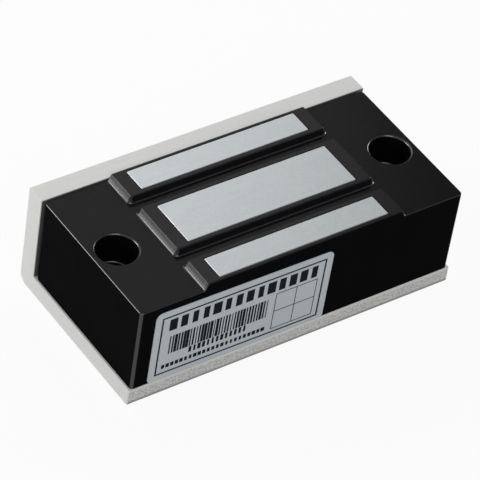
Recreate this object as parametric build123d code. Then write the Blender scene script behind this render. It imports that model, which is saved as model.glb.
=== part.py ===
from build123d import *
import math
import os

# A small electromagnetic door lock: a steel E-core and its coil, sealed in a black case that
# stands on the floor of an L-shaped aluminium bracket. Sizes are in millimetres. X runs along
# the lock, Y from its open front to the bracket's wall, and Z up from the bracket's underside
# to the pole faces. The origin is the middle of the underside.

# Core: an E in the YZ plane, whose three legs end in the pole faces
core_length = 41.4
outer_leg = 5.8
centre_leg = 11.6
coil_window = 5.6
yoke_height = 5.8
core_lift = 1.2
core_fit = 0.1
pole_corner = 0.3
pole_edge = 0.12
rivet_diameter = 2.4
rivet_head_diameter = 4.0
rivet_head_height = 0.8
rivet_fit = 0.05

# Case
case_height = 20.8
side_wall = 0.7
shell_wall = 1.4
end_wall = 1.4
top_plate = 2.0
case_corner = 0.8
case_edge = 0.25
pad_root = 0.4
pad_rise = 1.6
pad_end_run = 0.8
pad_side_run = 0.5
pad_end_margin = 3.1
pad_side_margin = 1.05
pad_foot_corner = 1.0
pad_top_corner = 0.35

# Screw wells at the case's ends
well_diameter = 8.8
well_lip = 0.5
well_depth = 7.6
well_root = 0.5
boss_wall = 1.8
boss_gap = 1.4
fixing_hole = 5.2

# Bracket
floor_thickness = 4.2
wall_thickness = 4.7
wall_rise = 0.3
front_ledge = 0.15
end_ledge = 0.5
rear_gap = 0.3
heel_radius = 2.2
root_radius = 0.6
toe_radius = 0.6
bracket_edge = 0.25

# Coil
coil_clearance = 0.2
bobbin_fit = 0.15
bobbin_wall = 0.8
flange_thickness = 0.8
bobbin_headroom = 0.2
winding_fit = 0.05
tape_thickness = 0.25
flange_lip = 0.3
pin_block_length = 1.3
pin_block_height = 2.0
pin_diameter = 0.7
pin_reach = 0.7
pin_pitch = 2.0
pin_fit = 0.03
lead_diameter = 0.8
lead_bend = 1.0

# Board and its components, in the right front pocket
board_thickness = 1.0
board_wall_gap = 0.8
board_end_gap = 1.6
board_headroom = 1.5
board_embed = 1.0
component_gap = 0.3
solder_column = 2.0
varistor_diameter = 6.4
varistor_thickness = 2.4
diode_diameter = 1.8
diode_length = 4.2
component_leg = 0.5
post_diameter = 0.7
post_length = 2.8
post_pitch = 1.8

# Cable inlet in the right end wall
inlet_bore = 3.6
grommet_neck = 5.6
grommet_flange = 7.6
grommet_inner_flange = 0.8
grommet_fit = 0.05
inlet_side_gap = 2.2
grommet_edge = 0.2

# Screws that hold the case to the bracket, and their inserts
screw_inset = 4.6
screw_diameter = 3.0
screw_head = 6.0
screw_length = 8.0
screw_sink = 0.1
screw_clearance = 0.2
socket_width = 2.0
socket_depth = 1.2
insert_diameter = 4.2
insert_length = 5.0
insert_recess = 0.2
insert_groove = 0.3
insert_fit = 0.05
insert_boss_wall = 1.6
thread_clearance = 0.05

# Resin and label
resin_recess = 0.2
resin_below_coil = 1.2
resin_clearance = 0.05
label_width = 42.9
label_height = 19.3
label_thickness = 0.12
label_corner = 1.5
label_turn = 0.65
label_centre_x = -14.25
label_centre_rise = 9.1
label_floor_gap = 0.1

# How near two places are when they count as one
near = 1e-4

# Sizes that follow from the ones above
core_depth = 2 * outer_leg + centre_leg + 2 * coil_window
outer_row = centre_leg / 2 + coil_window + outer_leg / 2
coil_reach = coil_window - coil_clearance
coil_end = core_length / 2 + coil_reach
well_radius = well_diameter / 2
boss_radius = well_radius + boss_wall
hole_x = coil_end + boss_gap + boss_radius
case_length = 2 * (hole_x + well_radius + end_wall)
case_depth = core_depth + 2 * (core_fit + side_wall)
bracket_length = case_length + 2 * end_ledge
bracket_depth = front_ledge + case_depth + rear_gap + wall_thickness

bracket_front = -bracket_depth / 2
case_front = bracket_front + front_ledge
case_y = case_front + case_depth / 2
case_end = case_length / 2
inner_end = case_end - end_wall

flat_z = floor_thickness + case_height
pole_z = flat_z + pad_rise
well_bottom = flat_z - well_depth
ceiling_z = flat_z - top_plate
core_bottom = floor_thickness + core_lift
yoke_top = core_bottom + yoke_height
resin_bottom = floor_thickness + resin_recess
resin_top = yoke_top - resin_below_coil
coil_top = ceiling_z - bobbin_headroom

# Each leg of the E: its middle in Y, and its width
legs = [(case_y - outer_row, outer_leg), (case_y, centre_leg), (case_y + outer_row, outer_leg)]
screw_places = [(case_end - screw_inset, case_y + case_depth / 2 - screw_inset),
                (screw_inset - case_end, case_y - case_depth / 2 + screw_inset)]
insert_boss = insert_diameter / 2 + insert_boss_wall

board_left = coil_end + board_end_gap
board_right = inner_end - board_end_gap
board_face = case_front + shell_wall + board_wall_gap + board_thickness
board_bottom = resin_top - board_embed
board_top = ceiling_z - board_headroom
solder_x = board_left + solder_column / 2
varistor_x = board_right - component_gap - varistor_diameter / 2
varistor_z = board_top - component_gap - varistor_diameter / 2
component_y = board_face + component_gap
post_heights = [board_top - post_diameter, board_top - post_diameter - post_pitch]

pin_x = coil_end + pin_block_length / 2
pin_rows = [case_y - boss_radius - pin_pitch, case_y - boss_radius - 2 * pin_pitch]
lead_low = yoke_top + pin_block_height + lead_diameter / 2
lead_heights = [lead_low + lead_diameter + component_gap, lead_low]
inlet_y = case_front + shell_wall + inlet_side_gap + grommet_flange / 2
inlet_z = (resin_top + ceiling_z) / 2


def block(length, depth, low, high, corner=0.0, y=case_y, x=0.0):
    """An upright block with its plan centred on (x, y), between two heights."""
    plan = RectangleRounded(length, depth, corner) if corner else Rectangle(length, depth)
    return Pos(x, y, low) * extrude(plan, amount=high - low)


def post(diameter, low, high, x, y=case_y):
    """An upright round bar between two heights."""
    return Pos(x, y, low) * extrude(Circle(diameter / 2), amount=high - low)


def bar_x(diameter, low, high, y, z):
    """A round bar along X between two places."""
    return Plane.YZ.offset(low) * Pos(y, z) * extrude(Circle(diameter / 2), amount=high - low)


def bar_y(diameter, low, high, x, z):
    """A round bar along Y between two places."""
    return Plane.XZ.offset(-low) * Pos(x, z) * extrude(Circle(diameter / 2), amount=low - high)


def at_height(shape, z):
    """The edges of a shape that lie wholly at one height."""
    return [e for e in shape.edges() if all(abs(v.Z - z) < near for v in e.vertices())]


def make_bracket():
    wall_top = flat_z + wall_rise
    floor = Pos(0, floor_thickness / 2) * Rectangle(bracket_depth, floor_thickness)
    wall_y = bracket_depth / 2 - wall_thickness
    wall = Pos(wall_y + wall_thickness / 2, wall_top / 2) * Rectangle(wall_thickness, wall_top)
    section = floor + wall
    rounds = [(bracket_depth / 2, 0, heel_radius), (wall_y, floor_thickness, root_radius),
              (bracket_front, 0, toe_radius), (bracket_front, floor_thickness, bracket_edge),
              (wall_y, wall_top, bracket_edge), (bracket_depth / 2, wall_top, bracket_edge)]
    for y, z, radius in rounds:
        corner = section.vertices().sort_by_distance((y, z, 0))[0]
        section = fillet(corner, radius)
    bracket = extrude(Plane.YZ * section, amount=bracket_length / 2, both=True)
    ends = [edge for face in bracket.faces().filter_by(Axis.X) for edge in face.edges()]
    bracket = chamfer(ends, bracket_edge / 2)
    for side in (-1, 1):
        bracket -= post(fixing_hole, 0, floor_thickness, side * hole_x)
    for x, y in screw_places:
        bracket -= screw_form(0, floor_thickness, screw_clearance, x, y)
    return bracket


def screw_form(low, high, grow, x, y):
    """A countersunk head and its shank between two heights, grown by a clearance."""
    head = screw_head / 2 + grow
    shank = screw_diameter / 2 + grow
    neck = low + head - shank
    half = make_face(Polyline((0, low), (head, low), (shank, neck), (shank, high), (0, high), close=True))
    return Pos(x, y, 0) * revolve(Plane.XZ * half, Axis.Z)


def make_bracket_screws():
    screws = []
    socket = extrude(RegularPolygon(socket_width / math.sqrt(3), 6), amount=socket_depth)
    for x, y in screw_places:
        screw = screw_form(screw_sink, screw_sink + screw_length, 0, x, y)
        screws.append(screw - Pos(x, y, screw_sink) * socket)
    return Compound(children=screws)


def make_threaded_inserts():
    low = floor_thickness + insert_recess
    high = low + insert_length
    groove_low = (low + high) / 2 - insert_groove
    groove_high = (low + high) / 2 + insert_groove
    inserts = []
    for x, y in screw_places:
        groove = post(insert_diameter, groove_low, groove_high, x, y)
        groove -= post(insert_diameter - 2 * insert_groove, groove_low, groove_high, x, y)
        insert = post(insert_diameter, low, high, x, y) - groove
        inserts.append(insert - post(screw_diameter + 2 * thread_clearance, low, high, x, y))
    return Compound(children=inserts)


def make_core():
    core = block(core_length, core_depth, core_bottom, yoke_top)
    for y, width in legs:
        leg = block(core_length, width, core_bottom, pole_z, pole_corner, y)
        core += chamfer(at_height(leg, pole_z), pole_edge)
    for y in (legs[0][0], legs[2][0]):
        core -= bar_x(rivet_diameter + 2 * rivet_fit, -core_length / 2, core_length / 2, y,
                      (core_bottom + yoke_top) / 2)
    return core


def make_core_rivets():
    z = (core_bottom + yoke_top) / 2
    end = core_length / 2
    rivets = []
    for y in (legs[0][0], legs[2][0]):
        rivet = bar_x(rivet_diameter, -end, end, y, z)
        rivet += bar_x(rivet_head_diameter, end, end + rivet_head_height, y, z)
        rivet += bar_x(rivet_head_diameter, -end - rivet_head_height, -end, y, z)
        rivets.append(rivet)
    return Compound(children=rivets)


def core_pocket(low, high, inset):
    """The wider part of the case's hollow, where the core stands between thin side walls."""
    return block(core_length + 2 * (core_fit - inset), core_depth + 2 * (core_fit - inset), low, high)


def cavity(low, high, inset):
    """The hollow inside the case, clear of its bosses, drawn in from every wall by an inset."""
    hollow = block(case_length - 2 * (end_wall + inset), case_depth - 2 * (shell_wall + inset), low, high)
    for side in (-1, 1):
        hollow -= post(2 * (boss_radius + inset), low, high, side * hole_x)
    for x, y in screw_places:
        hollow -= post(2 * (insert_boss + inset), low, high, x, y)
        corner_x = x + math.copysign(screw_inset / 2, x)
        corner_y = y + math.copysign(screw_inset / 2, y - case_y)
        hollow -= block(screw_inset, screw_inset, low, high, 0, corner_y, corner_x)
    return hollow


def pad(y, leg, side):
    """A raised pad round one pole: sloped all round, or run out past the case on an outer side."""
    reach = pad_side_margin + pad_side_run
    overrun = abs(side) * (side_wall + core_fit + pad_side_run + pad_foot_corner)
    length = core_length + 2 * (pad_end_margin + pad_end_run)
    depth = leg + reach + max(reach, overrun)
    shift = side * (max(reach, overrun) - reach) / 2
    foot = RectangleRounded(length, depth, pad_foot_corner)
    top = RectangleRounded(length - 2 * pad_end_run, depth - 2 * pad_side_run, pad_top_corner)
    return Pos(0, y + shift, flat_z) * loft([foot, Pos(0, 0, pad_rise) * top], ruled=True)


def case_outside():
    """The case's outer form: a rounded block with three raised pads on top."""
    body = block(case_length, case_depth, floor_thickness, flat_z, case_corner)
    outline = block(case_length, case_depth, flat_z, pole_z, case_corner)
    for (y, leg), side in zip(legs, (-1, 0, 1)):
        body += pad(y, leg, side) & outline
    return body


def rim_edges(case):
    """The upper edges of the case's outside: round each pad's top, and along the sides and ends."""
    rims = []
    for edge in case.edges():
        points = edge.vertices()
        on_pad = all(v.Z > pole_z - near for v in points)
        on_side = all(abs(abs(v.Y - case_y) - case_depth / 2) < near for v in points)
        on_end = abs(edge.center().X) > case_end - case_corner
        if all(v.Z > flat_z - near for v in points) and (on_pad or on_side or on_end):
            rims.append(edge)
    return rims


def root_edges(case):
    """The inner corners where the pads' slopes rise from the case's flat top."""
    roots = []
    for edge in at_height(case, flat_z):
        inside = abs(edge.center().Y - case_y) < case_depth / 2 - near
        if inside and abs(edge.center().X) < case_end - case_corner:
            roots.append(edge)
    return roots


def make_case():
    case = case_outside()
    case = fillet(root_edges(case), pad_root)
    case = fillet(rim_edges(case), case_edge)
    for side in (-1, 1):
        well = post(well_diameter, well_bottom, flat_z, side * hole_x)
        case -= fillet(at_height(well, well_bottom), well_root)
    lips = [e for e in at_height(case, flat_z) if e.geom_type == GeomType.CIRCLE
            and abs(e.radius - well_radius) < near]
    case = fillet(lips, well_lip)
    for side in (-1, 1):
        case -= post(fixing_hole, floor_thickness, well_bottom, side * hole_x)
    case -= cavity(floor_thickness, ceiling_z, 0)
    case -= core_pocket(floor_thickness, ceiling_z, 0)
    for y, leg in legs:
        case -= block(core_length + 2 * core_fit, leg + 2 * core_fit, ceiling_z, pole_z,
                      pole_corner + core_fit, y)
    for x, y in screw_places:
        case -= post(insert_diameter + 2 * insert_fit, floor_thickness,
                     floor_thickness + insert_recess + insert_length, x, y)
    case -= bar_x(grommet_neck + 2 * grommet_fit, inner_end, case_end, inlet_y, inlet_z)
    root = Plane.YZ * Pos(case_y + case_depth / 2, floor_thickness) * Rectangle(
        root_radius * math.sqrt(2), root_radius * math.sqrt(2), rotation=45)
    case -= extrude(root, amount=case_end, both=True)
    return case


def ring(inner, outer, low, high, corner):
    """A rounded frame round the centre leg, given its inner and outer reach from the leg."""
    hole = block(core_length + 2 * inner, centre_leg + 2 * inner, low, high, corner + inner)
    return block(core_length + 2 * outer, centre_leg + 2 * outer, low, high, corner + outer) - hole


def make_bobbin():
    tube = bobbin_fit + bobbin_wall
    bobbin = ring(bobbin_fit, tube, yoke_top, coil_top, pole_corner)
    bobbin += ring(bobbin_fit, coil_reach, yoke_top, yoke_top + flange_thickness, pole_corner)
    bobbin += ring(bobbin_fit, coil_reach, coil_top - flange_thickness, coil_top, pole_corner)
    row_middle = sum(pin_rows) / 2
    bobbin += block(pin_block_length + coil_reach, 2 * pin_pitch, yoke_top, yoke_top + flange_thickness,
                    0, row_middle, coil_end + (pin_block_length - coil_reach) / 2)
    bobbin += block(pin_block_length, 2 * pin_pitch, yoke_top, yoke_top + pin_block_height,
                    0, row_middle, pin_x)
    for y in pin_rows:
        bobbin -= post(pin_diameter + 2 * pin_fit, yoke_top + flange_thickness,
                       yoke_top + pin_block_height, pin_x, y)
    return bobbin


def make_winding():
    inner = bobbin_fit + bobbin_wall + winding_fit
    outer = coil_reach - flange_lip - tape_thickness
    low = yoke_top + flange_thickness + winding_fit
    return ring(inner, outer, low, coil_top - flange_thickness - winding_fit, pole_corner)


def make_tape():
    outer = coil_reach - flange_lip
    low = yoke_top + flange_thickness + winding_fit
    return ring(outer - tape_thickness, outer, low, coil_top - flange_thickness - winding_fit, pole_corner)


def make_bobbin_pins():
    low = yoke_top + flange_thickness
    high = lead_heights[0] + lead_diameter / 2 + pin_reach
    return Compound(children=[post(pin_diameter, low, high, pin_x, y) for y in pin_rows])


def make_lead(index):
    """A short insulated lead from a bobbin pin, round one bend, to the board's inner face."""
    x = pin_x + pin_diameter / 2
    y = pin_rows[index]
    z = lead_heights[index]
    path = FilletPolyline((x, y, z), (solder_x, y, z), (solder_x, board_face, z), radius=lead_bend)
    return sweep(Plane.YZ.offset(x) * Pos(y, z) * Circle(lead_diameter / 2), path=path)


def make_board():
    y = board_face - board_thickness / 2
    board = block(board_right - board_left, board_thickness, board_bottom, board_top, 0, y,
                  (board_left + board_right) / 2)
    for z in post_heights:
        board -= bar_y(post_diameter, board_face - board_thickness, board_face, solder_x, z)
    return board


def make_varistor():
    disc = bar_y(varistor_diameter, component_y, component_y + varistor_thickness, varistor_x, varistor_z)
    disc = fillet(disc.edges(), varistor_thickness / 4)
    for side in (-1, 1):
        disc += bar_y(component_leg, board_face, component_y + varistor_thickness / 2,
                      varistor_x + side * varistor_diameter / 4, varistor_z)
    return disc


def make_diode():
    y = component_y + diode_diameter / 2
    z = resin_top + component_gap + diode_diameter / 2
    half = diode_length / 2
    diode = bar_x(diode_diameter, varistor_x - half, varistor_x + half, y, z)
    for side in (-1, 1):
        end = varistor_x + side * half
        tip = end + side * 2 * component_leg
        bend = FilletPolyline((end, y, z), (tip, y, z), (tip, board_face, z), radius=component_leg)
        diode += sweep(Plane.YZ.offset(end) * Pos(y, z) * Circle(component_leg / 2), path=bend)
    return diode


def make_supply_posts():
    low = board_face - board_thickness
    high = board_face + post_length
    return Compound(children=[bar_y(post_diameter, low, high, solder_x, z) for z in post_heights])


def make_grommet():
    outer = case_end + end_ledge
    flange = bar_x(grommet_flange, case_end, outer, inlet_y, inlet_z)
    rim = [e for e in flange.edges() if abs(e.center().X - outer) < near]
    grommet = fillet(rim, grommet_edge)
    grommet += bar_x(grommet_neck, inner_end, case_end, inlet_y, inlet_z)
    grommet += bar_x(grommet_flange, inner_end - grommet_inner_flange, inner_end, inlet_y, inlet_z)
    return grommet - bar_x(inlet_bore, inner_end - grommet_inner_flange, outer, inlet_y, inlet_z)


def make_resin(rivets, board):
    """Resin round the yoke and in the end pockets, closing the case's underside."""
    resin = cavity(resin_bottom, resin_top, resin_clearance)
    resin += core_pocket(resin_bottom, core_bottom, resin_clearance)
    resin -= block(core_length, core_depth, core_bottom, yoke_top)
    return resin - rivets - board


def make_label():
    face = RectangleRounded(label_width, label_height, label_corner)
    middle = floor_thickness + label_centre_rise
    sheet = Pos(label_centre_x, middle) * Rot(0, 0, -label_turn) * face
    low = floor_thickness + label_floor_gap
    sheet &= Pos(label_centre_x, low + label_height / 2) * Rectangle(2 * label_width, label_height)
    return extrude(Plane.XZ.offset(-case_front) * sheet, amount=label_thickness)


os.makedirs("parts", exist_ok=True)
rivets = make_core_rivets()
board = make_board()
nodes = {
    "mounting_bracket": make_bracket(),
    "case": make_case(),
    "core_stack": make_core(),
    "core_rivets": rivets,
    "coil_bobbin": make_bobbin(),
    "coil_winding": make_winding(),
    "coil_tape": make_tape(),
    "bobbin_pins": make_bobbin_pins(),
    "coil_lead_start": make_lead(0),
    "coil_lead_finish": make_lead(1),
    "circuit_board": board,
    "surge_varistor": make_varistor(),
    "flyback_diode": make_diode(),
    "supply_posts": make_supply_posts(),
    "cable_grommet": make_grommet(),
    "potting_compound": make_resin(rivets, board),
    "threaded_inserts": make_threaded_inserts(),
    "bracket_screws": make_bracket_screws(),
    "label": make_label(),
}
for name, shape in nodes.items():
    export_step(shape, f"parts/{name}.step")
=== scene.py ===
import math
from typing import NamedTuple

import bmesh
import bpy
from mathutils import Matrix, Vector


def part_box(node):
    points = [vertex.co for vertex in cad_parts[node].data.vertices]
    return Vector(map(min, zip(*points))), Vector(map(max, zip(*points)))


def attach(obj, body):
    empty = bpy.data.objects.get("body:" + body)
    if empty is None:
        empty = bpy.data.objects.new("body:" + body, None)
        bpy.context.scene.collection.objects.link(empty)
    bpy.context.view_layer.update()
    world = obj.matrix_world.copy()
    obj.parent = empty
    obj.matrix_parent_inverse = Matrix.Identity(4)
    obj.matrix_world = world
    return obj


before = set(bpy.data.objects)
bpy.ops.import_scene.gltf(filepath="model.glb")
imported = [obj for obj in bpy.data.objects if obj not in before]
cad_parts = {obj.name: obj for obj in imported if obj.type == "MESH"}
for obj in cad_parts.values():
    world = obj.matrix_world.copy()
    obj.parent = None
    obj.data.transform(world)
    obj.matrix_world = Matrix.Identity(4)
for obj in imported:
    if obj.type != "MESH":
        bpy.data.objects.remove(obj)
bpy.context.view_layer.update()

bl_info = {
    "name": "Electromagnetic lock finish",
    "version": (1, 0, 0),
    "blender": (4, 5, 0),
    "location": "3D View > Sidebar > Lock",
    "description": "Finishes for a small electromagnetic lock, its label print and a studio stage",
    "category": "Object",
}

BODY = "root"
MM = 0.001
MICRON = 0.000001
UP = Vector((0, 0, 1))
WHITE = (1.0, 1.0, 1.0, 1.0)

# Sockets that share a name with another of their node, by their place in its list
MIX_FACTOR = 0
MIX_LOW_VALUE = 2
MIX_HIGH_VALUE = 3
MIX_LOW_COLOUR = 6
MIX_HIGH_COLOUR = 7
MIXED_VALUE = 0
MIXED_COLOUR = 2
RANDOM_LOW = 2
RANDOM_HIGH = 3
RANDOM_VALUE = 1


# Settings

def colour(name, description, default):
    """A colour that a user would change."""
    return bpy.props.FloatVectorProperty(name=name, description=description, default=default,
                                         subtype="COLOR", size=3, min=0.0, max=1.0)


def length(name, description, default):
    """A length, given in millimetres and kept in metres."""
    return bpy.props.FloatProperty(name=name, description=description, default=default * MM,
                                   min=0.0, precision=5, unit="LENGTH")


def angle(name, description, default):
    """An angle, given in degrees."""
    return bpy.props.FloatProperty(name=name, description=description, default=math.radians(default),
                                   subtype="ANGLE")


def number(name, description, default):
    """A plain positive number."""
    return bpy.props.FloatProperty(name=name, description=description, default=default, min=0.0)


class LockFinish(bpy.types.PropertyGroup):
    """Colours of the lock's pieces."""
    aluminium: colour("Aluminium", "Bracket's satin aluminium", (0.79, 0.788, 0.774))
    plastic: colour("Case plastic", "Case's black moulding", (0.0036, 0.0036, 0.0042))
    steel: colour("Pole steel", "Ground faces of the core", (0.523, 0.543, 0.553))
    zinc: colour("Zinc", "Plated screws and rivets", (0.55, 0.56, 0.58))
    nylon: colour("Nylon", "Coil's bobbin", (0.74, 0.71, 0.62))
    copper: colour("Copper", "Enamelled winding wire", (0.62, 0.20, 0.07))
    tape: colour("Tape", "Wrap over the winding", (0.70, 0.42, 0.04))
    tin: colour("Tin", "Pins and posts", (0.66, 0.65, 0.62))
    red_lead: colour("First lead", "Insulation of the coil's first lead", (0.42, 0.012, 0.012))
    black_lead: colour("Second lead", "Insulation of the coil's second lead", (0.012, 0.012, 0.013))
    mask: colour("Board", "Solder mask", (0.012, 0.13, 0.045))
    lacquer: colour("Varistor", "Dipped lacquer", (0.012, 0.06, 0.30))
    diode: colour("Diode", "Moulded body", (0.012, 0.012, 0.013))
    rubber: colour("Rubber", "Cable bush", (0.010, 0.010, 0.011))
    resin: colour("Resin", "Poured filling", (0.010, 0.010, 0.010))
    brass: colour("Brass", "Threaded inserts", (0.62, 0.42, 0.13))
    dust: colour("Dust", "Dust on the plastics", (0.3, 0.29, 0.27))
    film: colour("Label film", "Silver film under the print", (0.575, 0.62, 0.655))
    ink: colour("Ink", "Print on the label", (0.009, 0.011, 0.016))


class LabelPrint(bpy.types.PropertyGroup):
    """Sizes of the label's plain print, on a label of this width and height."""
    width: length("Width", "Label's width", 42.9)
    height: length("Height", "Label's height before its foot is cut off", 19.3)
    turn: angle("Turn", "How far the label is stuck on askew, clockwise", 0.65)
    inset: length("Border inset", "From the label's top and sides to its border line", 1.55)
    foot: length("Border foot", "From the label's foot to its border line", 1.8)
    line: length("Border line", "Width of the border line", 0.38)
    hairline: length("Hairline", "Width of the grid's lines", 0.18)
    grid_width: length("Grid width", "Width of the ruled grid", 10.2)
    grid_inset: length("Grid inset", "From the grid to the border's right side", 1.55)
    grid_foot: length("Grid foot", "From the grid to the border's foot", 1.05)
    grid_head: length("Grid head", "From the grid to the border's top", 4.95)
    thickness: length("Ink thickness", "How far the ink stands proud", 0.015)
    seed: bpy.props.IntProperty(name="Seed", description="Draw of the bar widths", default=7, min=0)


class StageSetup(bpy.types.PropertyGroup):
    """Camera and light of the studio stage."""
    azimuth: angle("Azimuth", "Turn of the camera round the lock", -40.396)
    elevation: angle("Elevation", "Height of the camera above the horizon", 42.36)
    roll: angle("Roll", "Tilt of the picture", 9.48)
    distance: length("Distance", "From the aim to the camera", 696.1)
    lens: number("Lens", "Focal length in millimetres on a 36 mm sensor", 253.58)
    world: number("World", "Strength of the even light all round", 0.30)
    floor: number("Floor", "Paleness of the floor", 0.86)
    glow: number("Floor glow", "Share of plain white in the floor that is seen", 0.92)


# Nodes and shared effects

def feed(tree, socket, value):
    """Joins an input to another node's socket, or sets its value."""
    if isinstance(value, bpy.types.NodeSocket):
        tree.links.new(value, socket)
    else:
        socket.default_value = value


def node(tree, kind, inputs=None, **settings):
    """A new node with its settings, and its inputs set to a value or joined to a socket."""
    made = tree.nodes.new(kind)
    for name, value in settings.items():
        setattr(made, name, value)
    for name, value in (inputs or {}).items():
        feed(tree, made.inputs[name], value)
    return made


def maths(tree, operation, first, second=0.0, clamp=False):
    """One step of arithmetic on values."""
    made = node(tree, "ShaderNodeMath", {0: first, 1: second}, operation=operation, use_clamp=clamp)
    return made.outputs[0]


def ramp(tree, value, low, high):
    """A mask that goes smoothly from 0 to 1 as a value goes from low to high."""
    made = node(tree, "ShaderNodeMapRange", {"Value": value, "From Min": low, "From Max": high},
                interpolation_type="SMOOTHSTEP")
    return made.outputs["Result"]


def new_group(name, kind, inputs, outputs):
    """An empty node group with named inputs, given as (kind, default), and named outputs."""
    tree = bpy.data.node_groups.new(name, kind)
    for label, (socket_kind, default) in inputs.items():
        socket = tree.interface.new_socket(label, in_out="INPUT", socket_type=socket_kind)
        if default is not None:
            socket.default_value = default
    for label, socket_kind in outputs.items():
        tree.interface.new_socket(label, in_out="OUTPUT", socket_type=socket_kind)
    return tree, node(tree, "NodeGroupInput").outputs, node(tree, "NodeGroupOutput").inputs


def make_grain_group():
    """Fine irregular grain, from 0 to 1. A small spread makes it harsh."""
    tree, given, result = new_group("grain", "ShaderNodeTree", {
        "Vector": ("NodeSocketVector", None), "Scale": ("NodeSocketFloat", 1000.0),
        "Spread": ("NodeSocketFloat", 0.25)}, {"Value": "NodeSocketFloat"})
    noise = node(tree, "ShaderNodeTexNoise", {"Vector": given["Vector"], "Scale": given["Scale"],
                                              "Detail": 5.0, "Roughness": 0.6})
    low = maths(tree, "SUBTRACT", 0.5, given["Spread"])
    high = maths(tree, "ADD", 0.5, given["Spread"])
    feed(tree, result["Value"], ramp(tree, noise.outputs[0], low, high))
    return tree


def make_lay_group():
    """Fine lines left by a die, a saw or a grinding wheel: long along X, short across it."""
    tree, given, result = new_group("lay lines", "ShaderNodeTree", {
        "Vector": ("NodeSocketVector", None), "Across": ("NodeSocketFloat", 4000.0),
        "Along": ("NodeSocketFloat", 60.0)}, {"Value": "NodeSocketFloat"})
    scale = node(tree, "ShaderNodeCombineXYZ", {"X": given["Along"], "Y": given["Across"],
                                                "Z": given["Across"]})
    stretched = node(tree, "ShaderNodeVectorMath", {0: given["Vector"], 1: scale.outputs[0]},
                     operation="MULTIPLY")
    noise = node(tree, "ShaderNodeTexNoise", {"Vector": stretched.outputs[0], "Scale": 1.0,
                                              "Detail": 3.0, "Roughness": 0.55})
    feed(tree, result["Value"], ramp(tree, noise.outputs[0], 0.25, 0.75))
    return tree


def make_edge_group():
    """Where a surface turns between its flat sides: rims, rounds and slopes, whole and broken by a noise."""
    tree, given, result = new_group("edge wear", "ShaderNodeTree", {
        "Vector": ("NodeSocketVector", None), "Normal": ("NodeSocketVector", None),
        "Break": ("NodeSocketFloat", 600.0)}, {"Edge": "NodeSocketFloat", "Worn": "NodeSocketFloat"})
    size = node(tree, "ShaderNodeVectorMath", {0: given["Normal"]}, operation="ABSOLUTE")
    across, deep, upright = node(tree, "ShaderNodeSeparateXYZ", {0: size.outputs[0]}).outputs
    widest = maths(tree, "MAXIMUM", maths(tree, "MAXIMUM", across, deep), upright)
    edge = ramp(tree, widest, 0.995, 0.90)
    noise = node(tree, "ShaderNodeTexNoise", {"Vector": given["Vector"], "Scale": given["Break"],
                                              "Detail": 4.0})
    broken = ramp(tree, noise.outputs[0], 0.35, 0.65)
    feed(tree, result["Edge"], edge)
    feed(tree, result["Worn"], maths(tree, "MULTIPLY", edge, broken))
    return tree


def make_dust_group():
    """A thin veil of dust on what faces up."""
    tree, given, result = new_group("dust", "ShaderNodeTree", {
        "Vector": ("NodeSocketVector", None), "Normal": ("NodeSocketVector", None),
        "Amount": ("NodeSocketFloat", 0.3)}, {"Mask": "NodeSocketFloat"})
    upright = node(tree, "ShaderNodeSeparateXYZ", {0: given["Normal"]}).outputs[2]
    noise = node(tree, "ShaderNodeTexNoise", {"Vector": given["Vector"], "Scale": 220.0, "Detail": 6.0,
                                              "Roughness": 0.7})
    patches = ramp(tree, noise.outputs[0], 0.42, 0.72)
    veil = maths(tree, "MULTIPLY", ramp(tree, upright, 0.6, 1.0), patches)
    feed(tree, result["Mask"], maths(tree, "MULTIPLY", veil, given["Amount"]))
    return tree


EFFECT_MAKERS = {"grain": make_grain_group, "lay lines": make_lay_group,
                 "edge wear": make_edge_group, "dust": make_dust_group}


def effect_group(name):
    """A shared effect's group, made when the first finish asks for it."""
    return bpy.data.node_groups.get(name) or EFFECT_MAKERS[name]()


# Finishes

def shade(base, factor):
    """A darker or lighter tone of a colour."""
    return tuple(min(1.0, part * factor) for part in base)


def opaque(tone):
    """A colour with its alpha, as an input takes it. A socket stays as it is."""
    return tone if isinstance(tone, bpy.types.NodeSocket) else (*tone, 1.0)


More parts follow.
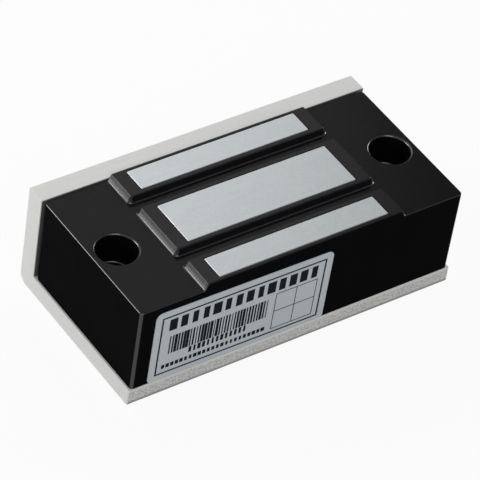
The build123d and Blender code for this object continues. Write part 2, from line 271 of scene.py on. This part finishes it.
class Look:
    """A material in the making: its shader, the place on the piece, and the steps that finishes share."""

    def __init__(self, name, **inputs):
        self.material = bpy.data.materials.new(name)
        self.material.use_nodes = True
        self.tree = self.material.node_tree
        self.shader = self.tree.nodes["Principled BSDF"]
        where = node(self.tree, "ShaderNodeTexCoord")
        self.place = where.outputs["Object"]
        self.normal = where.outputs["Normal"]
        self.give(**inputs)

    def give(self, **inputs):
        """Gives the shader its values, masks and colours."""
        for name, value in inputs.items():
            feed(self.tree, self.shader.inputs[name.replace("_", " ")], value)

    def effect(self, group, output, **inputs):
        """One output of a shared effect, placed with its own values."""
        made = node(self.tree, "ShaderNodeGroup", node_tree=effect_group(group))
        for name, value in (("Vector", self.place), ("Normal", self.normal)):
            if name in made.inputs:
                feed(self.tree, made.inputs[name], inputs.pop(name, value))
        for name, value in inputs.items():
            feed(self.tree, made.inputs[name], value)
        return made.outputs[output]

    def grain(self, scale, spread=0.25):
        """Fine irregular grain."""
        return self.effect("grain", "Value", Scale=scale, Spread=spread)

    def lay(self, across, along, turn=0.0):
        """Fine lines along X, or turned about Z by an angle in degrees."""
        mapping = node(self.tree, "ShaderNodeMapping", {"Vector": self.place,
                                                        "Rotation": (0.0, 0.0, math.radians(turn))})
        return self.effect("lay lines", "Value", Vector=mapping.outputs[0], Across=across, Along=along)

    def coordinates(self):
        """The place on the piece as X, Y and Z."""
        return node(self.tree, "ShaderNodeSeparateXYZ", {0: self.place}).outputs

    def facing(self, axis):
        """How far the surface faces along an axis, from -1 to 1."""
        made = node(self.tree, "ShaderNodeVectorMath", {0: self.normal, 1: axis}, operation="DOT_PRODUCT")
        return made.outputs["Value"]

    def endward(self, low, high):
        """What faces either end of the lock, between two amounts."""
        return ramp(self.tree, maths(self.tree, "ABSOLUTE", self.facing((1, 0, 0))), low, high)

    def times(self, first, second):
        """The product of two masks or values."""
        return maths(self.tree, "MULTIPLY", first, second)

    def mix(self, mask, low, high):
        """A colour between two by a mask."""
        made = node(self.tree, "ShaderNodeMix", {MIX_FACTOR: mask, MIX_LOW_COLOUR: opaque(low),
                                                 MIX_HIGH_COLOUR: opaque(high)}, data_type="RGBA")
        return made.outputs[MIXED_COLOUR]

    def blend(self, mask, low, high):
        """A value between two by a mask."""
        made = node(self.tree, "ShaderNodeMix", {MIX_FACTOR: mask, MIX_LOW_VALUE: low,
                                                 MIX_HIGH_VALUE: high}, data_type="FLOAT")
        return made.outputs[MIXED_VALUE]

    def bump(self, height, distance, strength):
        """Relief from a height of 0 to 1, over a distance in metres."""
        made = node(self.tree, "ShaderNodeBump", {"Height": height, "Distance": distance,
                                                  "Strength": strength})
        self.give(Normal=made.outputs[0])


def aluminium_look(base):
    """Extruded aluminium: die lines along it, sawn ends and a speckled front edge.

    The front edge is set darker as painted shade, with a painted highlight at its crest and painted shade at
    its foot. The wall's inner face is painted dark, as painted shade in the gap where the case sits.
    """
    look = Look("satin_aluminium", Metallic=0.2, Specular_IOR_Level=0.3)
    tree = look.tree
    _, depth, height = look.coordinates()
    ends = look.endward(0.6, 0.9)
    forward = ramp(tree, look.facing((0, -1, 0)), 0.6, 0.9)
    # Mask of the wall's inner face, which is painted dark as painted shade in the gap to the case.
    painted_gap_shade = look.times(forward, maths(tree, "GREATER_THAN", depth, 0.0))
    front = maths(tree, "SUBTRACT", forward, painted_gap_shade)
    # Front edge: a real speckle, set darker overall as painted shade, lighter at its crest as a painted
    # highlight and darkest at its foot as painted shade.
    crest = ramp(tree, height, 3.3 * MM, 3.9 * MM)
    above_foot = ramp(tree, height, 0.7 * MM, 1.3 * MM)
    edge = look.effect("edge wear", "Edge")
    lines = look.blend(ends, look.lay(3200.0, 25.0), look.lay(5200.0, 500.0, turn=62))
    tone = look.blend(0.5, lines, look.grain(2600.0, 0.20))
    cloud = look.grain(160.0, 0.30)
    speckle_and_painted_light = look.mix(look.grain(2000.0, 0.16), shade(base, 0.51), shade(base, 0.93))
    speckle_and_painted_light = look.mix(crest, speckle_and_painted_light, shade(base, 0.95))
    speckle_and_painted_light = look.mix(above_foot, shade(base, 0.28), speckle_and_painted_light)
    sawn = look.mix(tone, shade(base, 0.82), shade(base, 0.94))
    body = look.mix(tone, shade(base, 0.90), shade(base, 1.06))
    body = look.mix(look.times(cloud, 0.35), body, shade(base, 0.93))
    body = look.mix(ends, body, sawn)
    body = look.mix(look.times(front, 0.85), body, speckle_and_painted_light)
    body = look.mix(edge, body, shade(base, 0.97))
    # The wall's inner face gets a painted shade of 0.14 times the base colour.
    look.give(Base_Color=look.mix(painted_gap_shade, body, shade(base, 0.14)),
              Roughness=look.blend(edge, look.blend(tone, 0.42, 0.58), 0.85))
    look.bump(tone, 20 * MICRON, 0.5)
    return look.material


def case_look(base):
    """Satin black moulding with a fine grain, glossier on its top, its rims and the pads' slopes.

    The slopes shine most at their foot, and more at the pads' ends than along their sides. Their colour is
    also painted lighter, as a painted sheen.
    """
    look = Look("moulded_plastic", IOR=1.03, Coat_Roughness=0.22, Coat_IOR=1.9)
    tree = look.tree
    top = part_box("case")[1].z
    height = look.coordinates()[2]
    on_pads = ramp(tree, height, top - 1.2 * MM, top - 0.4 * MM)
    up_slopes = ramp(tree, height, top - 1.45 * MM, top - 0.45 * MM)
    upward = ramp(tree, look.facing((0, 0, 1)), 0.15, 0.95)
    leaning = ramp(tree, look.facing((0, 0, 1)), 0.12, 0.25)
    ends = look.endward(0.05, 0.45)
    edge = look.effect("edge wear", "Edge")
    worn = look.effect("edge wear", "Worn", Break=900.0)
    dust = look.effect("dust", "Mask", Amount=0.25)
    grain = look.grain(5200.0)
    cloud = look.grain(130.0, 0.30)
    # Slopes and rims painted several times lighter than the base: a painted sheen, varied a little by the
    # broken edge noise.
    painted_slope_sheen = look.mix(worn, shade(base, 5.0), shade(base, 7.5))
    body = look.mix(grain, shade(base, 0.85), shade(base, 1.25))
    body = look.mix(look.times(edge, leaning), body, painted_slope_sheen)
    top_gloss = look.times(upward, look.blend(on_pads, 0.11, 0.18))
    rim_gloss = look.blend(up_slopes, 1.0, 0.36)
    rim_gloss = look.times(rim_gloss, look.blend(ends, 0.4, 1.0))
    rim_gloss = look.times(rim_gloss, look.blend(leaning, 0.55, 1.0))
    look.give(Base_Color=look.mix(dust, body, shade(base, 2.6)),
              Roughness=look.blend(cloud, 0.40, 0.52),
              Coat_Weight=look.blend(edge, top_gloss, rim_gloss))
    look.bump(grain, 6 * MICRON, 0.2)
    return look.material


def steel_look(base):
    """Ground pole steel: fine lay along its length and faint cloudy mottling."""
    look = Look("ground_steel", Metallic=1.0)
    lay = look.lay(5200.0, 140.0)
    cloud = look.grain(240.0, 0.18)
    speck = look.grain(2300.0, 0.16)
    edge = look.effect("edge wear", "Edge")
    tone = look.blend(0.25, look.blend(0.70, lay, cloud), speck)
    body = look.mix(tone, shade(base, 0.86), shade(base, 1.11))
    # Rounded edges painted slightly lighter: a painted highlight on the rims.
    look.give(Base_Color=look.mix(edge, body, shade(base, 1.05)),
              Roughness=look.blend(look.blend(0.5, lay, cloud), 0.36, 0.50))
    look.bump(look.blend(0.4, lay, speck), 12 * MICRON, 0.35)
    return look.material


def plated_look(name, base, across, roughness=0.32):
    """Turned and plated metal: fine lines of the cutting tool, and a cloudy plating."""
    look = Look(name, Metallic=1.0)
    lay = look.lay(across, 400.0, turn=90)
    cloud = look.grain(700.0)
    worn = look.effect("edge wear", "Worn")
    body = look.mix(look.blend(0.5, lay, cloud), shade(base, 0.82), shade(base, 1.1))
    look.give(Base_Color=look.mix(worn, body, shade(base, 1.3)),
              Roughness=look.blend(cloud, roughness, roughness + 0.15))
    look.bump(lay, 10 * MICRON, 0.4)
    return look.material


def moulded_look(name, base, dust_colour, roughness, grain_scale=2600.0, relief=10 * MICRON):
    """Plain moulded or poured plastic, rubber or lacquer with a fine grain and a little dust."""
    look = Look(name)
    grain = look.grain(grain_scale)
    cloud = look.grain(260.0, 0.30)
    dust = look.effect("dust", "Mask", Amount=0.2)
    body = look.mix(look.blend(0.5, grain, cloud), shade(base, 0.82), shade(base, 1.15))
    look.give(Base_Color=look.mix(dust, body, look.mix(0.5, body, dust_colour)),
              Roughness=look.blend(cloud, roughness, roughness + 0.14))
    look.bump(grain, relief, 0.5)
    return look.material


def winding_look(base):
    """Enamelled wire wound in close turns, one above the other."""
    look = Look("wound_copper", Metallic=0.85, Coat_Weight=0.6, Coat_Roughness=0.12)
    turns = node(look.tree, "ShaderNodeTexWave", {"Vector": look.place, "Scale": 520.0, "Distortion": 0.6},
                 bands_direction="Z").outputs[1]
    cloud = look.grain(420.0)
    tone = look.blend(0.35, turns, cloud)
    look.give(Base_Color=look.mix(tone, shade(base, 0.45), shade(base, 1.2)),
              Roughness=look.blend(cloud, 0.24, 0.40))
    look.bump(turns, 100 * MICRON, 0.8)
    return look.material


def board_look(base):
    """Glass-fibre board: solder mask over a faint weave at 45 degrees to the board."""
    look = Look("solder_mask")
    mapping = node(look.tree, "ShaderNodeMapping", {"Vector": look.place,
                                                    "Rotation": (math.radians(45), 0.0, 0.0)})
    weave = node(look.tree, "ShaderNodeTexWave", {"Vector": mapping.outputs[0], "Scale": 420.0,
                                                  "Distortion": 1.0}, bands_direction="Z").outputs[1]
    cloud = look.grain(900.0)
    tone = look.blend(0.5, weave, cloud)
    look.give(Base_Color=look.mix(tone, shade(base, 0.75), shade(base, 1.25)),
              Roughness=look.blend(cloud, 0.30, 0.45))
    look.bump(weave, 20 * MICRON, 0.4)
    return look.material


def diode_look(base, tin):
    """Moulded diode body with a pale band near one end, and tinned legs."""
    look = Look("diode_body")
    tree = look.tree
    low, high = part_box("flyback_diode")
    leg = 1.25 * MM
    band_start = low.x + 0.64 * (high.x - low.x)
    band_stop = low.x + 0.72 * (high.x - low.x)
    along = look.coordinates()[0]
    band = look.times(maths(tree, "GREATER_THAN", along, band_start),
                      maths(tree, "LESS_THAN", along, band_stop))
    legs = maths(tree, "ADD", maths(tree, "LESS_THAN", along, low.x + leg),
                 maths(tree, "GREATER_THAN", along, high.x - leg), clamp=True)
    grain = look.grain(3000.0)
    body = look.mix(grain, shade(base, 0.8), shade(base, 1.2))
    look.give(Base_Color=look.mix(maths(tree, "ADD", band, legs, clamp=True), body, tin),
              Metallic=legs,
              Roughness=look.blend(grain, 0.42, 0.55))
    look.bump(grain, 10 * MICRON, 0.4)
    return look.material


def film_look(base):
    """Silver label film: a fine metallic grain under a satin skin."""
    look = Look("label_film", Specular_IOR_Level=0.4)
    grain = look.grain(3600.0, 0.22)
    cloud = look.grain(110.0, 0.32)
    tone = look.blend(0.5, grain, cloud)
    look.give(Base_Color=look.mix(tone, shade(base, 0.94), shade(base, 1.06)),
              Roughness=look.blend(grain, 0.40, 0.55))
    look.bump(grain, 8 * MICRON, 0.3)
    return look.material


def ink_look(base):
    """Printed ink, a little uneven."""
    look = Look("label_ink", IOR=1.08)
    grain = look.grain(4200.0, 0.2)
    look.give(Base_Color=look.mix(grain, shade(base, 0.8), shade(base, 1.6)),
              Roughness=look.blend(grain, 0.45, 0.6))
    return look.material


def floor_look(paleness, glow):
    """Pale floor, white behind the object, clear when seen from below."""
    material = bpy.data.materials.new("pale_floor")
    material.use_nodes = True
    tree = material.node_tree
    tree.nodes.remove(tree.nodes["Principled BSDF"])
    matt = node(tree, "ShaderNodeBsdfDiffuse", {"Color": opaque((paleness, paleness, paleness))})
    white = node(tree, "ShaderNodeEmission", {"Color": WHITE, "Strength": 1.0})
    path = node(tree, "ShaderNodeLightPath").outputs
    seen = maths(tree, "MAXIMUM", path["Is Camera Ray"], path["Is Glossy Ray"])
    lit = node(tree, "ShaderNodeMixShader", {0: maths(tree, "MULTIPLY", seen, glow),
                                             1: matt.outputs[0], 2: white.outputs[0]})
    clear = node(tree, "ShaderNodeBsdfTransparent")
    below = node(tree, "ShaderNodeNewGeometry").outputs["Backfacing"]
    sides = node(tree, "ShaderNodeMixShader", {0: below, 1: lit.outputs[0], 2: clear.outputs[0]})
    feed(tree, tree.nodes["Material Output"].inputs["Surface"], sides.outputs[0])
    return material


def dress(material, *names):
    """Gives CAD nodes their finish."""
    for name in names:
        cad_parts[name].material_slots[0].material = material


# Label print

class PrintRow(NamedTuple):
    """A row of plain bars in millimetres. Its first bar stands in from the border's left side.

    The rise goes up from the border's foot, or down from its top where it is negative.
    """
    across: float
    rise: float
    count: int
    pitch: float
    narrow: float
    wide: float
    tall: float


PRINT_ROWS = (
    PrintRow(across=2.9, rise=-2.65, count=14, pitch=2.63, narrow=1.3, wide=2.1, tall=3.1),
    PrintRow(across=2.7, rise=7.65, count=34, pitch=0.71, narrow=0.20, wide=0.69, tall=4.9),
    PrintRow(across=8.0, rise=4.25, count=13, pitch=1.10, narrow=0.5, wide=0.80, tall=1.6),
    PrintRow(across=1.8, rise=1.95, count=23, pitch=1.10, narrow=0.5, wide=0.95, tall=1.05),
)


class Area(NamedTuple):
    """A rectangle on the label, in metres from the label's middle."""
    left: float
    low: float
    right: float
    high: float


def make_bar_tree():
    """Geometry Nodes tree: a row of upright bars of drawn widths, raised from the label."""
    tree, given, result = new_group("bar row", "GeometryNodeTree", {
        "Count": ("NodeSocketInt", 10), "Pitch": ("NodeSocketFloat", 1.0 * MM),
        "Narrow": ("NodeSocketFloat", 0.3 * MM), "Wide": ("NodeSocketFloat", 0.8 * MM),
        "Height": ("NodeSocketFloat", 3.0 * MM), "Thickness": ("NodeSocketFloat", 0.02 * MM),
        "Seed": ("NodeSocketInt", 0), "Material": ("NodeSocketMaterial", None)},
        {"Geometry": "NodeSocketGeometry"})
    offset = node(tree, "ShaderNodeCombineXYZ", {"X": given["Pitch"]})
    row = node(tree, "GeometryNodeMeshLine", {"Count": given["Count"], "Offset": offset.outputs[0]})
    drawn = node(tree, "FunctionNodeRandomValue", {RANDOM_LOW: given["Narrow"], RANDOM_HIGH: given["Wide"],
                                                   "Seed": given["Seed"]}, data_type="FLOAT")
    size = node(tree, "ShaderNodeCombineXYZ", {"X": drawn.outputs[RANDOM_VALUE], "Y": given["Height"],
                                               "Z": given["Thickness"]})
    bar = node(tree, "GeometryNodeMeshCube")
    bars = node(tree, "GeometryNodeInstanceOnPoints", {"Points": row.outputs["Mesh"],
                                                       "Instance": bar.outputs["Mesh"],
                                                       "Scale": size.outputs[0]})
    real = node(tree, "GeometryNodeRealizeInstances", {0: bars.outputs[0]})
    coated = node(tree, "GeometryNodeSetMaterial", {"Geometry": real.outputs[0],
                                                    "Material": given["Material"]})
    feed(tree, result["Geometry"], coated.outputs[0])
    return tree


def bar_row(tree, **sizes):
    """The plain mesh of one row of bars."""
    maker = bpy.data.objects.new("bar_maker", bpy.data.meshes.new("bar_maker"))
    bpy.context.scene.collection.objects.link(maker)
    modifier = maker.modifiers.new("bars", "NODES")
    modifier.node_group = tree
    for item in tree.interface.items_tree:
        if item.in_out == "INPUT" and item.name in sizes:
            modifier[item.identifier] = sizes[item.name]
    bpy.context.view_layer.update()
    evaluated = maker.evaluated_get(bpy.context.evaluated_depsgraph_get())
    mesh = bpy.data.meshes.new_from_object(evaluated)
    bpy.data.objects.remove(maker)
    return mesh


def add_block(target, area, thickness):
    """A flat block of ink."""
    middle = Matrix.Translation(((area.left + area.right) / 2, (area.low + area.high) / 2, 0))
    size = Matrix.Diagonal((area.right - area.left, area.high - area.low, thickness, 1))
    bmesh.ops.create_cube(target, size=1.0, matrix=middle @ size)


def add_frame(target, area, line, thickness):
    """A rectangle of ink lines that meet without overlapping."""
    left, low, right, high = area
    add_block(target, Area(left, low, right, low + line), thickness)
    add_block(target, Area(left, high - line, right, high), thickness)
    add_block(target, Area(left, low + line, left + line, high - line), thickness)
    add_block(target, Area(right - line, low + line, right, high - line), thickness)


def border_area(sizes):
    """The area inside the label's border line, with the line."""
    half_width, half_height = sizes.width / 2, sizes.height / 2
    return Area(sizes.inset - half_width, sizes.foot - half_height,
                half_width - sizes.inset, half_height - sizes.inset)


def add_grid(target, border, sizes):
    """The ruled grid of two by two empty fields at the border's right side."""
    right = border.right - sizes.grid_inset
    left = right - sizes.grid_width
    low, high = border.low + sizes.grid_foot, border.high - sizes.grid_head
    line, half_line = sizes.hairline, sizes.hairline / 2
    middle_x, middle_y = (left + right) / 2, (low + high) / 2
    add_frame(target, Area(left, low, right, high), line, sizes.thickness)
    upright = Area(middle_x - half_line, low + line, middle_x + half_line, high - line)
    left_rule = Area(left + line, middle_y - half_line, upright.left, middle_y + half_line)
    right_rule = Area(upright.right, middle_y - half_line, right - line, middle_y + half_line)
    for area in (upright, left_rule, right_rule):
        add_block(target, area, sizes.thickness)


def add_rows(target, border, sizes, ink):
    """The rows of plain bars, each with a draw of its own."""
    tree = make_bar_tree()
    for index, row in enumerate(PRINT_ROWS):
        mesh = bar_row(tree, Count=row.count, Pitch=row.pitch * MM, Narrow=row.narrow * MM,
                       Wide=row.wide * MM, Height=row.tall * MM, Thickness=sizes.thickness,
                       Seed=sizes.seed + index, Material=ink)
        datum = border.high if row.rise < 0 else border.low
        mesh.transform(Matrix.Translation((border.left + row.across * MM, datum + row.rise * MM, 0)))
        target.from_mesh(mesh)
        bpy.data.meshes.remove(mesh)


def label_place(sizes):
    """Carries the flat print to the label's front, upright and turned with it."""
    label_low, label_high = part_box("label")
    centre_x = (label_low.x + label_high.x) / 2
    front = label_low.y - sizes.thickness / 2
    corner_drop = math.sin(sizes.turn) * sizes.width / 2
    centre_z = label_high.z - sizes.height / 2 - corner_drop
    stand = Matrix.Translation((centre_x, front, centre_z)) @ Matrix.Rotation(math.radians(90), 4, "X")
    return stand @ Matrix.Rotation(-sizes.turn, 4, "Z")


# Stage

class Softbox(NamedTuple):
    """A lamp: its direction from the aim in degrees, its distance and sides in metres, and its brightness."""
    name: str
    azimuth: float
    elevation: float
    distance: float
    width: float
    height: float
    brightness: float


SOFTBOXES = (
    Softbox("left_back_softbox", -128, 17, 0.50, 0.25, 0.28, 5.1),
    Softbox("top_softbox", 160, 42, 0.40, 0.30, 0.30, 1.28),
    Softbox("front_softbox", -22, 44, 0.80, 0.50, 0.40, 2.3),
    Softbox("right_softbox", 97, 8, 0.50, 0.28, 0.13, 6.0),
)
AIM = Vector((-0.449, 0.0, 11.512)) * MM
SENSOR_WIDTH = 36.0
NEAR_CLIP = 0.01
FLOOR_REACH = 3.0
FLOOR_HEIGHT = -0.05 * MM


def look_axes(azimuth, elevation, roll=0.0):
    """The right, up and back directions of a camera or a lamp."""
    back = Vector((math.sin(azimuth) * math.cos(elevation), -math.cos(azimuth) * math.cos(elevation),
                   math.sin(elevation)))
    right = UP.cross(back).normalized()
    up = back.cross(right)
    return math.cos(roll) * right + math.sin(roll) * up, math.cos(roll) * up - math.sin(roll) * right, back


def stand_back(name, data, axes, distance):
    """Stands a camera or a lamp at a distance from the aim, which it faces."""
    made = bpy.data.objects.new(name, data)
    made.matrix_world = Matrix.Translation(AIM + axes[2] * distance) @ Matrix(axes).transposed().to_4x4()
    bpy.context.scene.collection.objects.link(made)
    return made


def make_camera(setup):
    """The camera that sees the lock as the photograph does."""
    camera = bpy.data.cameras.new("camera")
    camera.lens = setup.lens
    camera.sensor_width = SENSOR_WIDTH
    camera.clip_start = NEAR_CLIP
    axes = look_axes(setup.azimuth, setup.elevation, setup.roll)
    return stand_back("camera", camera, axes, setup.distance)


def make_floor(setup):
    """A wide floor just under the lock."""
    near, far = -FLOOR_REACH, FLOOR_REACH
    corners = [(x, y, FLOOR_HEIGHT) for x, y in ((near, near), (far, near), (far, far), (near, far))]
    mesh = bpy.data.meshes.new("floor")
    mesh.from_pydata(corners, [], [(0, 1, 2, 3)])
    mesh.materials.append(floor_look(setup.floor, setup.glow))
    floor = bpy.data.objects.new("floor", mesh)
    bpy.context.scene.collection.objects.link(floor)


def make_world(setup):
    """Even white light all round."""
    world = bpy.data.worlds.new("studio")
    world.use_nodes = True
    background = world.node_tree.nodes["Background"]
    background.inputs["Color"].default_value = WHITE
    background.inputs["Strength"].default_value = setup.world
    return world


def make_softbox(box):
    """A rectangular lamp of an even brightness."""
    lamp = bpy.data.lights.new(box.name, "AREA")
    lamp.shape = "RECTANGLE"
    lamp.size = box.width
    lamp.size_y = box.height
    lamp.energy = math.pi * box.width * box.height * box.brightness
    axes = look_axes(math.radians(box.azimuth), math.radians(box.elevation))
    stand_back(box.name, lamp, axes, box.distance)


# Operators

class LOCK_OT_bracket(bpy.types.Operator):
    """Finish the aluminium bracket"""
    bl_idname = "lock.bracket"
    bl_label = "Bracket"

    def execute(self, context):
        dress(aluminium_look(context.scene.lock_finish.aluminium), "mounting_bracket")
        return {"FINISHED"}


class LOCK_OT_case(bpy.types.Operator):
    """Finish the moulded case"""
    bl_idname = "lock.case"
    bl_label = "Case"

    def execute(self, context):
        dress(case_look(context.scene.lock_finish.plastic), "case")
        return {"FINISHED"}


class LOCK_OT_core(bpy.types.Operator):
    """Finish the steel core"""
    bl_idname = "lock.core"
    bl_label = "Core"

    def execute(self, context):
        dress(steel_look(context.scene.lock_finish.steel), "core_stack")
        return {"FINISHED"}


class LOCK_OT_fasteners(bpy.types.Operator):
    """Finish the rivets, the screws and their inserts"""
    bl_idname = "lock.fasteners"
    bl_label = "Fasteners"

    def execute(self, context):
        finish = context.scene.lock_finish
        dress(plated_look("zinc_plate", finish.zinc, across=6000.0), "core_rivets", "bracket_screws")
        dress(plated_look("turned_brass", finish.brass, across=3500.0), "threaded_inserts")
        return {"FINISHED"}


class LOCK_OT_coil(bpy.types.Operator):
    """Finish the bobbin, its winding, tape, pins and leads, and the supply posts"""
    bl_idname = "lock.coil"
    bl_label = "Coil"

    def execute(self, context):
        finish = context.scene.lock_finish
        dust = finish.dust
        dress(moulded_look("natural_nylon", finish.nylon, dust, 0.45), "coil_bobbin")
        dress(winding_look(finish.copper), "coil_winding")
        dress(moulded_look("film_tape", finish.tape, dust, 0.25, grain_scale=900.0), "coil_tape")
        tinned = plated_look("tinned_pin", finish.tin, across=5000.0, roughness=0.25)
        dress(tinned, "bobbin_pins", "supply_posts")
        dress(moulded_look("first_lead", finish.red_lead, dust, 0.4), "coil_lead_start")
        dress(moulded_look("second_lead", finish.black_lead, dust, 0.4), "coil_lead_finish")
        return {"FINISHED"}


class LOCK_OT_board(bpy.types.Operator):
    """Finish the board and its components"""
    bl_idname = "lock.board"
    bl_label = "Board"

    def execute(self, context):
        finish = context.scene.lock_finish
        dress(board_look(finish.mask), "circuit_board")
        lacquer = moulded_look("dipped_lacquer", finish.lacquer, finish.dust, 0.2, grain_scale=700.0,
                               relief=30 * MICRON)
        dress(lacquer, "surge_varistor")
        dress(diode_look(finish.diode, finish.tin), "flyback_diode")
        return {"FINISHED"}


class LOCK_OT_seals(bpy.types.Operator):
    """Finish the cable bush and the resin"""
    bl_idname = "lock.seals"
    bl_label = "Seals"

    def execute(self, context):
        finish = context.scene.lock_finish
        dress(moulded_look("bush_rubber", finish.rubber, finish.dust, 0.6), "cable_grommet")
        resin = moulded_look("poured_resin", finish.resin, finish.dust, 0.15, grain_scale=500.0,
                             relief=40 * MICRON)
        dress(resin, "potting_compound")
        return {"FINISHED"}


class LOCK_OT_label(bpy.types.Operator):
    """Finish the label and lay its plain print on it"""
    bl_idname = "lock.label"
    bl_label = "Label"

    def execute(self, context):
        finish = context.scene.lock_finish
        sizes = context.scene.lock_label
        dress(film_look(finish.film), "label")
        ink = ink_look(finish.ink)
        border = border_area(sizes)
        made = bmesh.new()
        add_frame(made, border, sizes.line, sizes.thickness)
        add_grid(made, border, sizes)
        add_rows(made, border, sizes, ink)
        bmesh.ops.transform(made, matrix=label_place(sizes), verts=made.verts)
        bmesh.ops.recalc_face_normals(made, faces=made.faces)
        mesh = bpy.data.meshes.new("label_print")
        made.to_mesh(mesh)
        made.free()
        mesh.materials.append(ink)
        piece = bpy.data.objects.new("label_print", mesh)
        context.scene.collection.objects.link(piece)
        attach(piece, BODY)
        return {"FINISHED"}


class LOCK_OT_stage(bpy.types.Operator):
    """Make the floor, the lights and the camera"""
    bl_idname = "lock.stage"
    bl_label = "Stage"

    def execute(self, context):
        setup = context.scene.lock_stage
        context.scene.camera = make_camera(setup)
        make_floor(setup)
        context.scene.world = make_world(setup)
        for box in SOFTBOXES:
            make_softbox(box)
        context.scene.view_settings.view_transform = "Standard"
        return {"FINISHED"}


OPERATORS = (LOCK_OT_bracket, LOCK_OT_case, LOCK_OT_core, LOCK_OT_fasteners, LOCK_OT_coil,
             LOCK_OT_board, LOCK_OT_seals, LOCK_OT_label, LOCK_OT_stage)


class LOCK_PT_finish(bpy.types.Panel):
    """Lists the lock's operators, colours and sizes"""
    bl_idname = "LOCK_PT_finish"
    bl_label = "Electromagnetic lock"
    bl_space_type = "VIEW_3D"
    bl_region_type = "UI"
    bl_category = "Lock"

    def draw(self, context):
        for operator in OPERATORS:
            self.layout.operator(operator.bl_idname)
        for settings in (context.scene.lock_finish, context.scene.lock_label, context.scene.lock_stage):
            column = self.layout.column()
            for name in settings.__annotations__:
                column.prop(settings, name)


CLASSES = (LockFinish, LabelPrint, StageSetup, *OPERATORS, LOCK_PT_finish)


def register():
    for item in CLASSES:
        bpy.utils.register_class(item)
    bpy.types.Scene.lock_finish = bpy.props.PointerProperty(type=LockFinish)
    bpy.types.Scene.lock_label = bpy.props.PointerProperty(type=LabelPrint)
    bpy.types.Scene.lock_stage = bpy.props.PointerProperty(type=StageSetup)


def unregister():
    del bpy.types.Scene.lock_finish
    del bpy.types.Scene.lock_label
    del bpy.types.Scene.lock_stage
    for item in reversed(CLASSES):
        bpy.utils.unregister_class(item)


def main():
    register()
    bpy.ops.lock.bracket()
    bpy.ops.lock.case()
    bpy.ops.lock.core()
    bpy.ops.lock.fasteners()
    bpy.ops.lock.coil()
    bpy.ops.lock.board()
    bpy.ops.lock.seals()
    bpy.ops.lock.label()
    bpy.ops.lock.stage()


if __name__ == "__main__":
    main()
